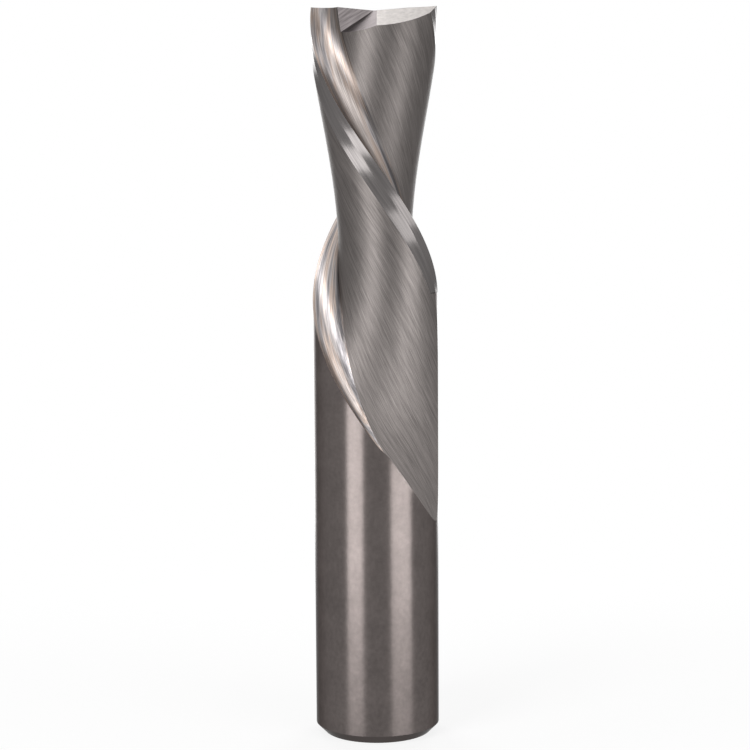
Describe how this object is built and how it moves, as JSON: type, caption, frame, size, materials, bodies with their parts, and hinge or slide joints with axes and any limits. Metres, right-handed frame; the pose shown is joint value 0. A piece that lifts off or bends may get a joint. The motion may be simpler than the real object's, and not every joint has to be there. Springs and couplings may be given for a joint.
{
  "type": "router bit",
  "caption": "Solid carbide spiral router bit with two left-hand flutes, relieved lands, gashed end teeth and a plain chamfered shank.",
  "frame": {"origin": "centre of the shank's flat end, on the axis", "axes": "+Z along the tool's axis from the shank's end to the tip, -Y towards the side the picture shows"},
  "size_m": [0.012, 0.012, 0.07],
  "materials": {
    "carbide": "ground, satin on the shank and back faces, polished in the hook of the flutes"
  },
  "bodies": {
    "root": {"router_bit": "carbide"}
  },
  "joints": []
}
